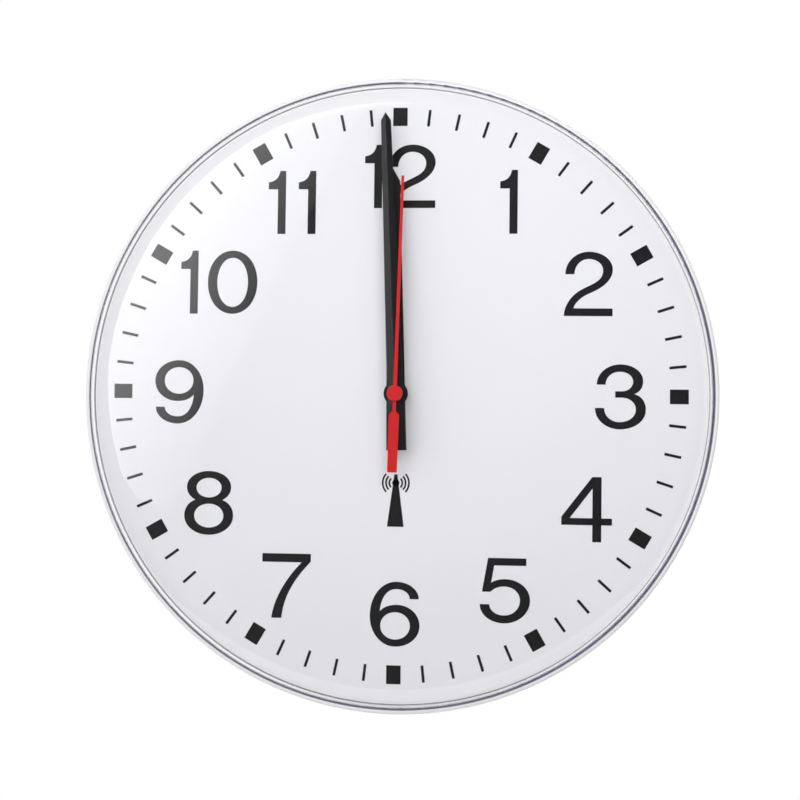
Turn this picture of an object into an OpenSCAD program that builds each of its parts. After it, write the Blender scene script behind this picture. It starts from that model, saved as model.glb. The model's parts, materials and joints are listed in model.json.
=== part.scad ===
// Round radio-controlled wall clock under a clear domed cover, with the quartz
// movement, its wheel train, the aerial and the battery that it holds inside.
// The origin is the hanging point in the plane of the wall: +Z is up, +X is to the
// right and the dial faces -Y. Inside the modules the clock lies on its back instead:
// x to the right, y up and z forward from the wall, about the axis of the hands.

/* [Case] */
// Outside diameter of the case at its front rim
case_d = 300; // [292:1:330]
// Outside diameter of the skirt where it meets the wall
skirt_back_d = 282; // [270:1:286]
// Height of the dial's seat above the wall
seat_z = 25; // [25:0.5:30]
// Thickness of the moulded walls
wall_t = 2.2; // [1.8:0.1:2.6]
// Number of stiffening ribs on the back
rib_count = 12; // [8:1:16]

/* [Hanger] */
// Distance from the axis of the hands up to the hanging point
hang_y = 114; // [108:1:118]
// Diameter of the hole that the screw's head enters
screw_entry_d = 10; // [9:0.5:11]
// Width of the slot that the screw's shank slides into
screw_slot_w = 5; // [4:0.25:5.5]

/* [Cover] */
// Thickness of the clear cover
cover_t = 1.5; // [1.2:0.1:2]
// Radius of the cover's rounded edge
cover_edge_r = 14; // [13.5:0.5:16]
// Rise of the cover's dome between its edge and its crown
cover_crown = 4; // [3:0.1:4.8]
// Depth of the groove that the cover's wall stands in
groove_depth = 5; // [3:0.5:7]

/* [Dial] */
// Thickness of the dial plate
dial_t = 0.6; // [0.4:0.1:1]
// Radius of the circle on which the marks are centred
mark_ring_r = 131.5; // [120:0.5:133]
// Width of an hour mark
hour_mark_w = 6.8; // [4:0.1:9]
// Length of an hour mark
hour_mark_l = 8.7; // [6:0.1:12]
// Width of a minute mark
minute_mark_w = 1.3; // [0.8:0.1:2]
// Length of a minute mark
minute_mark_l = 7.9; // [5:0.1:10]

/* [Hands] */
// Length of the hour hand from its axis to its point
hour_hand_l = 105.6; // [85:0.1:110]
// Length of the minute hand from its axis to its point
minute_hand_l = 132; // [115:0.5:135]
// Length of the second hand from its axis to its tip
second_hand_l = 101.7; // [80:0.1:120]
// Length of the hour and minute hands' tails
hand_tail_l = 26.5; // [18:0.5:30]
// Length of the second hand's tail
second_tail_l = 36.7; // [30:0.1:45]
// Angle of the hour hand, clockwise from twelve
hour_angle = -1.3; // [-180:0.1:180]
// Angle of the minute hand, clockwise from twelve
minute_angle = -2.7; // [-180:0.1:180]
// Angle of the second hand, clockwise from twelve
second_angle = 1.4; // [-180:0.1:180]

/* [Movement] */
// Width of the movement's box
box_w = 74; // [74:0.5:80]
// Radius of the threaded bush that holds the movement to the case
bush_r = 3.5; // [3.4:0.1:3.7]
// Amount taken off each tooth's width for free running
tooth_play = 0.04; // [0.03:0.005:0.05]
// Travel of the push buttons
button_travel = 0.4; // [0.2:0.05:0.4]

/* [Hidden] */
$fn = 64;
arc_facets = 160;
hull_facets = 32;
overlap = 0.5;

// Case
case_r = case_d / 2;
skirt_back_r = skirt_back_d / 2;
bead_r = 1.2;
bead_z = seat_z + 0.3;
skirt_flare = case_r - skirt_back_r;
skirt_curve_r = (skirt_flare * skirt_flare + bead_z * bead_z) / (2 * skirt_flare);
skirt_centre_r = case_r - skirt_curve_r;
floor_t = 2.2;
floor_back_z = seat_z - floor_t;
groove_z = seat_z - groove_depth;
groove_under_z = groove_z - wall_t;
groove_play = 0.2;
hub_bore_r = bush_r + 0.2;
rib_t = 1.6;
rib_start_r = 54;
rib_depth = 3.2;
rib_end_depth = 4.2;
gusset_r = case_r - 22;
gusset_z = 9;
ring_rib_rs = [78, 108];
ring_rib_depth = 4;
draft_step = 0.8;

// Hanger
hanger_w = 22;
hanger_below = 17;
hanger_above = 9;
hanger_z = 2.5;
hanger_plate_t = 1.2;
hanger_seat_z = hanger_z + hanger_plate_t;
entry_drop = 8;
ear_x = 14;
ear_y = hang_y - 4;
ear_r = 3.4;
ear_screw_r = 1.1;
ear_screw_l = 8;
ear_head_r = 2.2;
ear_head_t = 1.4;
screw_hole_play = 0.2;

// Cover
foot_r = case_r - 2 * bead_r - groove_play;
foot_z = groove_z + groove_play;
shoulder_z = seat_z;
edge_centre_r = foot_r - cover_edge_r;
edge_top_z = shoulder_z + cover_edge_r;
crown_reach = (edge_centre_r * edge_centre_r + cover_crown * cover_crown) / (2 * cover_crown);
crown_r = crown_reach + cover_edge_r;
crown_centre_z = edge_top_z + cover_crown - crown_r;
crown_lean = asin(edge_centre_r / crown_reach);
edge_steps = 16;
crown_steps = 12;

// Dial
dial_face_z = seat_z + dial_t;
dial_rim_w = 1;
dial_play = 0.1;
dial_rim_r = foot_r - cover_t - groove_play;
dial_r = dial_rim_r - dial_rim_w - dial_play;
print_t = 0.1;
hours = 12;
minutes = 60;

// Hands, by their height above the dial and by their widths
hour_hand_z = dial_face_z + 6.4;
minute_hand_z = dial_face_z + 8.8;
second_hand_z = dial_face_z + 11.4;
hand_edge_t = 0.6;
hand_ridge_t = 1.3;
hour_tip_w = 6.1;
hour_tail_w = 9.4;
hour_point_l = 5.8;
hour_boss_r = 5.7;
hour_boss_t = 1.4;
hour_boss_drop = 0.6;
minute_tip_w = 4.6;
minute_tail_w = 8.3;
minute_point_l = 3.8;
minute_boss_r = 3.4;
minute_boss_t = 1;
minute_boss_drop = 0.5;
second_t = 0.4;
second_tip_w = 1.25;
second_hub_w = 1.8;
second_neck_w = 1.6;
second_neck_l = 8.3;
counterweight_l = 1.6;
counterweight_w = 4.9;
counterweight_end_w = 4.5;
second_boss_r = 1.1;
second_boss_drop = 0.8;
second_hub_r = 2;
cap_r = 3.7;
cap_t = 1.1;
cap_round_r = 0.5;
cap_socket = 0.4;

// Movement box: the axis of the hands is at its origin
box_top_y = 33;
box_bottom_y = -37;
box_h = box_top_y - box_bottom_y;
box_mid_y = (box_top_y + box_bottom_y) / 2;
box_back_z = 5;
box_front_z = seat_z - floor_t - 1;
box_wall_t = 1.4;
box_front_t = 1.2;
box_inner_z = box_front_z - box_front_t;
cover_plate_t = 1.2;
cover_inner_z = box_back_z + cover_plate_t;
bay_wall_y = -19.9;
seat_gap = 0.4;
seat_wall_t = 1.8;
seat_depth = 8;
bush_top_z = dial_face_z + 5;
washer_t = 0.6;
washer_r = 5.2;
nut_t = 2.2;
nut_across = 9.2;
nut_chamfer = 0.35;
rubber_washer_r = 9;

// Screw posts and screws of the rear cover
post_x = box_w / 2 - 3.6;
post_ys = [-15.6, 29.4];
post_r = 2.4;
screw_r = 1;
screw_head_r = 2;
screw_head_t = 1.3;
screw_l = 9;
dome_per_head = 1.6;
recess_per_head = 1.3;
recess_w = 0.5;
recess_depth = 0.7;
press = 0.02;

// What stands inside the movement box
bridge_posts = [[-13.5, 8], [-15, -13.5], [4, -14.5], [10, 16]];
bridge_post_r = 1.8;
bridge_pin_r = 0.8;
bridge_pin_l = 1.7;
bridge_margin = 3;
board_posts = [[18, -13.5], [27, 15]];
board_post_r = 1.5;
saddle_x = 15.2;
saddle_h = 6.5;
saddle_t = 1.6;
cradle_x = 18;
cradle_w = 10.8;
cradle_t = 2;
window_w = 2.6;
blind_depth = 0.8;
cover_play = 0.1;
cover_lip_t = 0.7;
button_play = 0.1;

// Arbors and running clearances
staff_r = 0.5;
rotor_staff_r = 0.4;
stud_r = 0.8;
run = 0.06;
centre_tube_r = 1.3;
hour_tube_r = 2.5;
bridge_hole_r = 2;
end_play = 0.1;
pinion_over = 0.2;
cannon_l = 1.7;
centre_tube_reach = 0.8;
hour_tube_reach = 1;

// Heights of the wheels above the wall
bridge_z = 13.4;
bridge_t = 0.7;
rotor_z = 7.9;
rotor_t = 1.8;
intermediate_z = 10.5;
seconds_z = 12.1;
third_z = bridge_z + bridge_t + 0.5;
centre_z = third_z + 1.8;
minute_z = centre_z + 1.4;
hour_z = box_inner_z - 1.4;
wheel_t = 0.8;
arbor_back_z = 8;
rotor_arbor_back_z = cover_inner_z + 0.6;

// Tooth counts and modules
pressure = 20;
addendum = 0.85;
dedendum = 1.125;
pinion_shift = 0.53;
leaf_count = 8;
rotor_module = 0.24;
intermediate_teeth = 60;
seconds_module = 0.45;
seconds_teeth = 32;
third_module = 0.3;
third_teeth = 60;
centre_teeth = 64;
motion_module = 0.4;
cannon_leaves = 10;
minute_teeth = 30;
hour_teeth = 32;

// Distances between arbors, worked out from the teeth that mesh
rotor_gap = rotor_module * (leaf_count + intermediate_teeth) / 2;
intermediate_gap = seconds_module * (leaf_count + seconds_teeth) / 2;
third_gap = third_module * (leaf_count + third_teeth) / 2;
centre_module = 2 * third_gap / (leaf_count + centre_teeth);
motion_gap = motion_module * (cannon_leaves + minute_teeth) / 2;

// Directions of the arbors, anticlockwise from the right as seen from the front
intermediate_dir = 190;
rotor_dir = 200;
third_dir = 25;
minute_dir = 115;
axis_at = [0, 0];
intermediate_at = polar(intermediate_gap, intermediate_dir);
rotor_at = intermediate_at + polar(rotor_gap, rotor_dir);
third_at = polar(third_gap, third_dir);
minute_at = polar(motion_gap, minute_dir);

// Angles of the wheels at which their teeth stand in the gaps of the pinions that drive them
intermediate_angle = mesh(leaf_count, 0, intermediate_teeth, rotor_dir + 180);
seconds_wheel_angle = mesh(leaf_count, 0, seconds_teeth, intermediate_dir + 180);
third_angle = mesh(leaf_count, 0, third_teeth, third_dir);
centre_angle = mesh(leaf_count, 0, centre_teeth, third_dir + 180);
minute_wheel_angle = mesh(cannon_leaves, 0, minute_teeth, minute_dir);
hour_wheel_angle = mesh(leaf_count, 0, hour_teeth, minute_dir + 180);

// Holes for lightness: how many, radius of their ring and radius of each
intermediate_holes = [5, 4.6, 1.3];
seconds_holes = [3, 4.4, 1.2];
centre_holes = [5, 6.2, 1.1];
minute_holes = [4, 3.9, 0.9];
hour_holes = [3, 4.4, 0.9];

// Bearings in the rear cover: place, outside radius, arbor's radius and front end
rear_bearings = [
    [axis_at, 1.6, staff_r, 9.8],
    [intermediate_at, 1.3, staff_r, 9.8],
    [rotor_at, 1.2, rotor_staff_r, 7.4]
];
bearing_depth = 2.2;
bearing_floor_z = cover_inner_z + 0.4;

// Motor
coil_x = -27.5;
coil_mid_y = -2;
coil_l = 22;
coil_flange_r = 3.6;
coil_flange_t = 1;
coil_tube_r = 1.9;
coil_r = 3.2;
lamination_t = 1;
stator_z = 8.3;
stator_hole_r = 3.4;
stator_ring_r = 5;
stator_leg_w = 4;
stator_pad_r = 2.4;
stator_gap = 0.3;
stator_notch_r = 0.5;
stator_notch_dir = 70;
magnet_r = 2.9;
rotor_hub_r = 1.6;
rotor_hub_t = 0.4;
core_w = 3;
core_l = 32;
core_z = stator_z + lamination_t;

// Light sensor that finds the hands' positions
sensor_at = [5, 2];
sensor_r = dist(sensor_at);
sensor_dir = atan2(sensor_at[1], sensor_at[0]);
sensor_hole_r = 0.6;
third_sensor_holes = 8;
third_sensor_hole_r = 0.9;
bridge_window_r = 1;
emitter_w = 2;
emitter_t = 1.2;
receiver_w = 2.5;
receiver_t = 1;
receiver_gap = 0.05;

// Aerial
aerial_y = 25.6;
aerial_z = 13;
aerial_r = 4;
aerial_l = 52;
aerial_coil_r = 5.4;
aerial_coil_l = 24;

// Circuit board
board_z = 9.2;
board_t = 1;
board_left_x = 3.5;
board_right_x = 30;
board_bottom_y = -16.5;
board_top_y = 18;
chip_at = [21, -5];
chip_r = 4;
chip_t = 1.2;
crystal_xs = [20, 24];
crystal_y = 8;
crystal_r = 1;
crystal_l = 6;

// Push buttons and their switches
button_x = 24.5;
button_ys = [-10, 0, 10];
button_r = 2.2;
button_flange_r = 3;
button_flange_t = 0.6;
button_proud = 1;
button_round_r = 0.4;
switch_w = 5;
switch_t = 1.5;
plunger_r = 1.4;
button_gap = 0.1;
button_inner_z = cover_inner_z + button_gap + button_flange_t;
plunger_z = button_inner_z + button_travel + button_gap;

// Battery, a single cell of the usual small size
cell_r = 7.1;
cell_l = 49;
cell_nub_r = 2.7;
cell_nub_l = 1.5;
cell_round_r = 0.8;
cell_nub_round_r = 0.3;
cell_y = -28.3;
cell_z = 12.9;
cell_left_x = -24.6;
bay_end_x = 27.6;
contact_t = 0.4;
contact_w = 8;
contact_h = 13;
contact_foot_z = box_back_z + 1;
contact_button_r = 2.4;
spring_top = 6;
spring_bend = 5;
spring_flat = 1;
spring_tip = 4;
spring_tip_back = 1;

function polar(r, a) = [r * cos(a), r * sin(a)];
function dist(p) = sqrt(p[0] * p[0] + p[1] * p[1]);

// Outside radius of the case's skirt at height z above the wall
function skirt_r(z) = skirt_centre_r + sqrt(skirt_curve_r * skirt_curve_r - pow(bead_z - z, 2));

// Points of an arc after its first
function arc(centre, r, from, to, steps) =
    [for (i = [1:steps]) centre + polar(r, from + (to - from) * i / steps)];

// Section of the cover's outer or inner face, from the foot of its wall to its crown
function cover_face(inset) =
    concat(
        [[foot_r - inset, foot_z], [foot_r - inset, shoulder_z]],
        arc([edge_centre_r, shoulder_z], cover_edge_r - inset, 0, 90 - crown_lean, edge_steps),
        arc([0, crown_centre_z], crown_r - inset, 90 - crown_lean, 90, crown_steps)
    );

// Involute of a pressure angle, in degrees
function involute(a) = tan(a) * 180 / PI - a;

// Half of a tooth's width at radius r, in degrees
function half_tooth(teeth, m, shift, r) =
    let (
        pitch_r = m * teeth / 2,
        base_r = pitch_r * cos(pressure),
        width = m * (PI / 2 + 2 * shift * tan(pressure)) - tooth_play
    )
    width / pitch_r * 90 / PI + involute(pressure) - involute(acos(base_r / max(r, base_r)));

// Radii at which one flank of a tooth has its points
function flank_radii(teeth, m, shift) =
    let (
        pitch_r = m * teeth / 2,
        base_r = pitch_r * cos(pressure),
        tip_r = pitch_r + m * (shift + addendum),
        root_r = pitch_r + m * (shift - dedendum)
    )
    root_r < base_r
        ? [root_r, base_r, (2 * base_r + tip_r) / 3, (base_r + 2 * tip_r) / 3, tip_r]
        : [root_r, (root_r + tip_r) / 2, tip_r];

function tooth(teeth, m, shift) =
    let (radii = flank_radii(teeth, m, shift), last = len(radii) - 1)
    concat(
        [for (r = radii) [r, -half_tooth(teeth, m, shift, r)]],
        [for (i = [last:-1:0]) [radii[i], half_tooth(teeth, m, shift, radii[i])]]
    );

// Angle at which gear b has a tooth so that it meshes with gear a, seen along dir
function mesh(teeth_a, angle_a, teeth_b, dir) =
    dir + 180 + 360 / teeth_b * (0.5 - (angle_a - dir) * teeth_a / 360);

// Stands a piece up from the lying position, with the origin at the hanging point
module upright() {
    translate([0, 0, -hang_y])
        rotate([90, 0, 0])
            children();
}

module at(p, z) {
    translate([p[0], p[1], z])
        children();
}

module disc(r, z, t) {
    translate([0, 0, z])
        cylinder(r = r, h = t);
}

// A cutter that runs past both ends of what it bores
module bore(r, z, t) {
    disc(r, z - overlap, t + 2 * overlap);
}

module tube(r, hole_r, z, t) {
    difference() {
        disc(r, z, t);
        bore(hole_r, z, t);
    }
}

module block(w, h, z, t) {
    translate([-w / 2, -h / 2, z])
        cube([w, h, t]);
}

module gear(teeth, m, shift, z, t, angle) {
    points = [
        for (i = [0:teeth - 1])
            for (p = tooth(teeth, m, shift))
                polar(p[0], angle + p[1] + i * 360 / teeth)
    ];
    translate([0, 0, z])
        linear_extrude(t)
            polygon(points);
}

module pinion(leaves, m, z, t, angle) {
    gear(leaves, m, pinion_shift, z, t, angle);
}

module wheel(teeth, m, z, angle) {
    gear(teeth, m, -pinion_shift, z, wheel_t, angle);
}

// Ring of round holes through a wheel
module holes(ring, z, from = 0) {
    count = ring[0];
    for (i = [0:count - 1])
        at(polar(ring[1], from + i * 360 / count), 0)
            bore(ring[2], z, wheel_t);
}

// Half section of a disc whose front edge is rounded
module rounded_section(r, t, edge_r) {
    square([r - edge_r, t]);
    translate([r - edge_r, 0])
        square([edge_r, t - edge_r]);
    translate([r - edge_r, t - edge_r])
        intersection() {
            circle(r = edge_r);
            square(2 * edge_r);
        }
}

// Case
module ring_section(inset) {
    translate([skirt_centre_r, bead_z])
        circle(r = skirt_curve_r - inset, $fn = arc_facets);
}

module skirt_section() {
    intersection() {
        difference() {
            ring_section(0);
            ring_section(wall_t);
        }
        translate([skirt_centre_r, 0])
            square([skirt_curve_r + overlap, bead_z]);
    }
}

module bead_section() {
    intersection() {
        translate([case_r - bead_r, bead_z])
            circle(r = bead_r);
        translate([case_r - 2 * bead_r - overlap, bead_z])
            square([3 * bead_r + overlap, 2 * bead_r]);
    }
}

// Floor under the dial, its rim, and the block that the cover's groove is cut into
module floor_section() {
    mid_wall = wall_t / 2;
    groove_mid_r = foot_r - cover_t / 2;
    polygon([
        [hub_bore_r, floor_back_z],
        [dial_rim_r - 2 * wall_t + draft_step, floor_back_z],
        [dial_rim_r - wall_t, groove_under_z],
        [skirt_r(groove_under_z) - mid_wall, groove_under_z],
        [skirt_r(groove_z) - mid_wall, groove_z],
        [case_r - bead_r, bead_z],
        [groove_mid_r, bead_z],
        [groove_mid_r, dial_face_z],
        [dial_r + dial_play, dial_face_z],
        [dial_r + dial_play, seat_z],
        [hub_bore_r, seat_z]
    ]);
}

module case_shell() {
    rotate_extrude()
        difference() {
            union() {
                skirt_section();
                bead_section();
                floor_section();
            }
            translate([dial_rim_r, groove_z])
                square([case_r - 2 * bead_r - dial_rim_r, bead_z]);
        }
}

module radial_rib() {
    rotate([90, 0, 0])
        translate([0, 0, -rib_t / 2])
            linear_extrude(rib_t)
                polygon([
                    [rib_start_r, floor_back_z + overlap],
                    [rib_start_r, floor_back_z - rib_depth],
                    [gusset_r, floor_back_z - rib_end_depth],
                    [skirt_r(gusset_z) - wall_t / 2, gusset_z],
                    [skirt_r(groove_under_z) - wall_t / 2, groove_under_z],
                    [dial_rim_r - wall_t, groove_under_z + overlap],
                    [dial_rim_r - 2 * wall_t, floor_back_z + overlap]
                ]);
}

module hanger_block(grow, z, t) {
    translate([-hanger_w / 2 - grow, hang_y - hanger_below - grow, z])
        cube([hanger_w + 2 * grow, hanger_below + hanger_above + 2 * grow, t]);
}

module ear_places() {
    for (x = [-ear_x, ear_x])
        translate([x, ear_y, 0])
            children();
}

module hanger_outline(z, t) {
    hanger_block(0, z, t);
    ear_places()
        disc(ear_r, z, t);
    translate([-ear_x, ear_y - ear_r, z])
        cube([2 * ear_x, 2 * ear_r, t]);
}

module movement_seat() {
    inner_w = box_w + 2 * seat_gap;
    inner_h = box_h + 2 * seat_gap;
    z = floor_back_z - seat_depth;
    translate([0, box_mid_y, 0])
        difference() {
            block(inner_w + 2 * seat_wall_t, inner_h + 2 * seat_wall_t, z, seat_depth + overlap);
            block(inner_w, inner_h, z - overlap, seat_depth + 3 * overlap);
        }
}

module case() {
    rib_from = 180 / rib_count;
    color("white")
        difference() {
            union() {
                case_shell();
                for (i = [0:rib_count - 1])
                    rotate(rib_from + i * 360 / rib_count)
                        radial_rib();
                for (r = ring_rib_rs)
                    tube(r + rib_t / 2, r - rib_t / 2, floor_back_z - ring_rib_depth,
                        ring_rib_depth + overlap);
                movement_seat();
                hanger_outline(hanger_seat_z, floor_back_z - hanger_seat_z + overlap);
            }
            hanger_block(-wall_t, hanger_seat_z - overlap,
                floor_back_z - hanger_seat_z + overlap);
            ear_places()
                disc(ear_screw_r, hanger_seat_z - overlap, ear_screw_l);
        }
}

// Hanger
module hanger_plate() {
    z = hanger_z - overlap;
    t = hanger_plate_t + 2 * overlap;
    color([0.78, 0.78, 0.8])
        difference() {
            hanger_outline(hanger_z, hanger_plate_t);
            at([0, hang_y - entry_drop], z)
                cylinder(d = screw_entry_d, h = t);
            at([0, hang_y], z)
                cylinder(d = screw_slot_w, h = t);
            translate([-screw_slot_w / 2, hang_y - entry_drop, z])
                cube([screw_slot_w, entry_drop, t]);
            ear_places()
                disc(ear_screw_r + screw_hole_play, z, t);
        }
}

// A screw with a domed head behind head_z and a cross recess in it
module pan_screw(head_z, r, head_r, head_t, l) {
    back_z = head_z - head_t;
    dome_r = dome_per_head * head_r;
    recess_l = recess_per_head * head_r;
    disc(r, head_z, l);
    difference() {
        intersection() {
            disc(head_r, back_z, head_t);
            translate([0, 0, back_z + dome_r])
                sphere(r = dome_r);
        }
        for (a = [0, 90])
            rotate(a)
                block(recess_l, recess_w, back_z - overlap, recess_depth + overlap);
    }
}

module hanger_screws() {
    color([0.75, 0.75, 0.77])
        ear_places()
            pan_screw(hanger_z, ear_screw_r, ear_head_r, ear_head_t, ear_screw_l);
}

// Front cover: a straight wall, a rounded edge and a slightly domed crown
module front_cover() {
    inside = cover_face(cover_t);
    color([0.85, 0.86, 0.92, 0.35])
        rotate_extrude()
            polygon(concat(cover_face(0), [for (i = [len(inside) - 1:-1:0]) inside[i]]));
}

// Dial
module dial() {
    color([0.94, 0.94, 0.96])
        tube(dial_r, hub_bore_r, seat_z, dial_t);
}

module dial_marks() {
    color([0.1, 0.1, 0.1])
        for (i = [0:minutes - 1]) {
            on_hour = i % (minutes / hours) == 0;
            w = on_hour ? hour_mark_w : minute_mark_w;
            l = on_hour ? hour_mark_l : minute_mark_l;
            rotate(-i * 360 / minutes)
                translate([0, mark_ring_r, 0])
                    block(w, l, dial_face_z, print_t);
        }
}

// Hands
module roof(w, l) {
    rotate([90, 0, 0])
        translate([0, 0, -l])
            linear_extrude(2 * l)
                polygon([
                    [-w / 2, 0],
                    [w / 2, 0],
                    [w / 2, hand_edge_t],
                    [0, hand_ridge_t],
                    [-w / 2, hand_edge_t]
                ]);
}

module ridged_hand(l, point_l, tip_w, tail_w) {
    intersection() {
        roof(tail_w, l);
        linear_extrude(hand_ridge_t)
            polygon([
                [-tail_w / 2, -hand_tail_l],
                [tail_w / 2, -hand_tail_l],
                [tip_w / 2, l - point_l],
                [0, l],
                [-tip_w / 2, l - point_l]
            ]);
    }
}

module hour_hand() {
    boss_z = hour_hand_z - hour_boss_drop;
    color([0.12, 0.12, 0.12])
        rotate(-hour_angle)
            difference() {
                union() {
                    translate([0, 0, hour_hand_z])
                        ridged_hand(hour_hand_l, hour_point_l, hour_tip_w, hour_tail_w);
                    disc(hour_boss_r, boss_z, hour_boss_t);
                }
                bore(hour_tube_r, boss_z, hour_boss_drop + hand_ridge_t);
            }
}

module minute_hand() {
    boss_z = minute_hand_z - minute_boss_drop;
    color([0.12, 0.12, 0.12])
        rotate(-minute_angle)
            difference() {
                union() {
                    translate([0, 0, minute_hand_z])
                        ridged_hand(minute_hand_l, minute_point_l, minute_tip_w, minute_tail_w);
                    disc(minute_boss_r, boss_z, minute_boss_t);
                }
                bore(centre_tube_r, boss_z, minute_boss_drop + hand_ridge_t);
            }
}

module second_hand() {
    tail_y = -second_tail_l;
    shoulder_y = -second_neck_l - counterweight_l;
    boss_z = second_hand_z - second_boss_drop;
    color([0.78, 0.12, 0.13])
        rotate(-second_angle)
            difference() {
                union() {
                    translate([0, 0, second_hand_z])
                        linear_extrude(second_t)
                            polygon([
                                [-second_tip_w / 2, second_hand_l],
                                [-second_hub_w / 2, 0],
                                [-second_neck_w / 2, -second_neck_l],
                                [-counterweight_w / 2, shoulder_y],
                                [-counterweight_end_w / 2, tail_y],
                                [counterweight_end_w / 2, tail_y],
                                [counterweight_w / 2, shoulder_y],
                                [second_neck_w / 2, -second_neck_l],
                                [second_hub_w / 2, 0],
                                [second_tip_w / 2, second_hand_l]
                            ]);
                    disc(second_boss_r, boss_z, second_boss_drop + second_t / 2);
                    disc(second_hub_r, second_hand_z, second_t);
                }
                bore(staff_r, boss_z, second_boss_drop + second_t);
            }
}

module second_hand_cap() {
    color([0.8, 0.1, 0.12])
        translate([0, 0, second_hand_z + second_t])
            difference() {
                rotate_extrude()
                    rounded_section(cap_r, cap_t, cap_round_r);
                disc(staff_r + end_play, -overlap, cap_socket + overlap);
            }
}

// Fastening of the movement
module dial_washer() {
    color([0.72, 0.6, 0.32])
        tube(washer_r, hub_bore_r, dial_face_z, washer_t);
}

// Both faces of the nut have their corners turned off
module hex_nut() {
    z = dial_face_z + washer_t;
    corner_r = nut_across / sqrt(3);
    face_r = nut_across / 2;
    color([0.75, 0.63, 0.35])
        difference() {
            intersection() {
                disc(corner_r, z, nut_t, $fn = 6);
                rotate_extrude()
                    polygon([
                        [0, z],
                        [face_r, z],
                        [corner_r + nut_chamfer, z + 2 * nut_chamfer],
                        [corner_r + nut_chamfer, z + nut_t - 2 * nut_chamfer],
                        [face_r, z + nut_t],
                        [0, z + nut_t]
                    ]);
            }
            bore(bush_r, z, nut_t);
        }
}

module rubber_washer() {
    color([0.1, 0.1, 0.11])
        tube(rubber_washer_r, hub_bore_r, box_front_z, floor_back_z - box_front_z);
}

// Movement box
module box_outline(grow, z, t) {
    translate([0, box_mid_y, 0])
        block(box_w + 2 * grow, box_h + 2 * grow, z, t);
}

module post_places() {
    for (x = [-post_x, post_x])
        for (y = post_ys)
            translate([x, y, 0])
                children();
}

module battery_saddle(x) {
    bottom_y = box_bottom_y + box_wall_t - overlap;
    difference() {
        translate([x - saddle_t / 2, bottom_y, box_inner_z - saddle_h])
            cube([saddle_t, bay_wall_y - bottom_y, saddle_h + overlap]);
        translate([x - saddle_t, cell_y, cell_z])
            rotate([0, 90, 0])
                cylinder(r = cell_r + cover_play, h = 2 * saddle_t);
    }
}

module bay_end_wall(x) {
    translate([x, box_bottom_y + box_wall_t / 2, box_back_z])
        cube([box_wall_t, bay_wall_y - box_bottom_y, box_front_z - box_back_z - overlap]);
}

module aerial_cradle(x) {
    difference() {
        translate([x - cradle_t / 2, aerial_y - cradle_w / 2, aerial_z])
            cube([cradle_t, cradle_w, box_inner_z - aerial_z + overlap]);
        translate([x - cradle_t, aerial_y, aerial_z])
            rotate([0, 90, 0])
                cylinder(r = aerial_r, h = 2 * cradle_t);
    }
}

// A post that stands on the inside of the box's front and ends at height z
module inner_post(r, z) {
    disc(r, z, box_inner_z - z + overlap);
}

module movement_housing() {
    depth = box_inner_z - box_back_z;
    color([0.13, 0.13, 0.14])
        difference() {
            union() {
                difference() {
                    box_outline(0, box_back_z, box_front_z - box_back_z);
                    box_outline(-box_wall_t, box_back_z - overlap, depth + overlap);
                }
                translate([-box_w / 2, bay_wall_y, box_back_z])
                    cube([box_w, box_wall_t, box_front_z - box_back_z]);
                bay_end_wall(-bay_end_x - box_wall_t);
                bay_end_wall(bay_end_x);
                for (side = [-1, 1]) {
                    battery_saddle(side * saddle_x);
                    aerial_cradle(side * cradle_x);
                }
                post_places()
                    inner_post(post_r, cover_inner_z);
                for (p = bridge_posts)
                    at(p, 0) {
                        inner_post(bridge_post_r, bridge_z + bridge_t);
                        disc(bridge_pin_r, bridge_z + bridge_t / 2 - bridge_pin_l / 3, bridge_pin_l);
                    }
                for (p = board_posts)
                    at(p, 0)
                        inner_post(board_post_r, board_z + board_t);
                at(minute_at, 0)
                    inner_post(stud_r, minute_z - end_play);
                disc(bush_r, box_front_z - overlap, bush_top_z - box_front_z + overlap);
            }
            bore(hour_tube_r + run, box_inner_z, bush_top_z - box_inner_z);
            at(third_at, box_inner_z - overlap)
                cylinder(r = staff_r + run, h = overlap + blind_depth);
            at(sensor_at, 0)
                block(window_w, window_w, box_inner_z - overlap, box_front_t + 2 * overlap);
            post_places()
                disc(screw_r + press, cover_inner_z - overlap, screw_l);
            translate([-box_w / 2 - overlap, bay_wall_y + box_wall_t, box_back_z - overlap])
                cube([box_w + 2 * overlap, box_top_y - bay_wall_y, cover_plate_t + overlap]);
        }
}

module rear_bearing(r, arbor_r, top_z) {
    difference() {
        disc(r, cover_inner_z - overlap, top_z - cover_inner_z + overlap);
        disc(arbor_r + run, max(bearing_floor_z, top_z - bearing_depth), bearing_depth + overlap);
    }
}

// A rim under the rear cover that fits inside the box's walls
module cover_lip() {
    bottom_y = bay_wall_y + box_wall_t + 2 * cover_play;
    w = box_w - 2 * box_wall_t - 2 * cover_play;
    h = box_top_y - box_wall_t - cover_play - bottom_y;
    translate([0, bottom_y + h / 2, 0])
        difference() {
            block(w, h, cover_inner_z - overlap, cover_lip_t + overlap);
            block(w - 2 * box_wall_t, h - 2 * box_wall_t, cover_inner_z - 2 * overlap,
                cover_lip_t + 3 * overlap);
        }
}

module movement_rear_cover() {
    bottom_y = bay_wall_y + box_wall_t + cover_play;
    color([0.16, 0.16, 0.17])
        difference() {
            union() {
                translate([-box_w / 2, bottom_y, box_back_z])
                    cube([box_w, box_top_y - bottom_y, cover_plate_t]);
                difference() {
                    cover_lip();
                    post_places()
                        disc(post_r + 2 * cover_play, cover_inner_z, cover_lip_t + overlap);
                }
                for (b = rear_bearings)
                    at(b[0], 0)
                        rear_bearing(b[1], b[2], b[3]);
            }
            for (y = button_ys)
                at([button_x, y], 0)
                    bore(button_r + button_play, box_back_z, cover_plate_t);
            post_places()
                bore(screw_r + screw_hole_play, box_back_z, cover_plate_t);
        }
}

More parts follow.
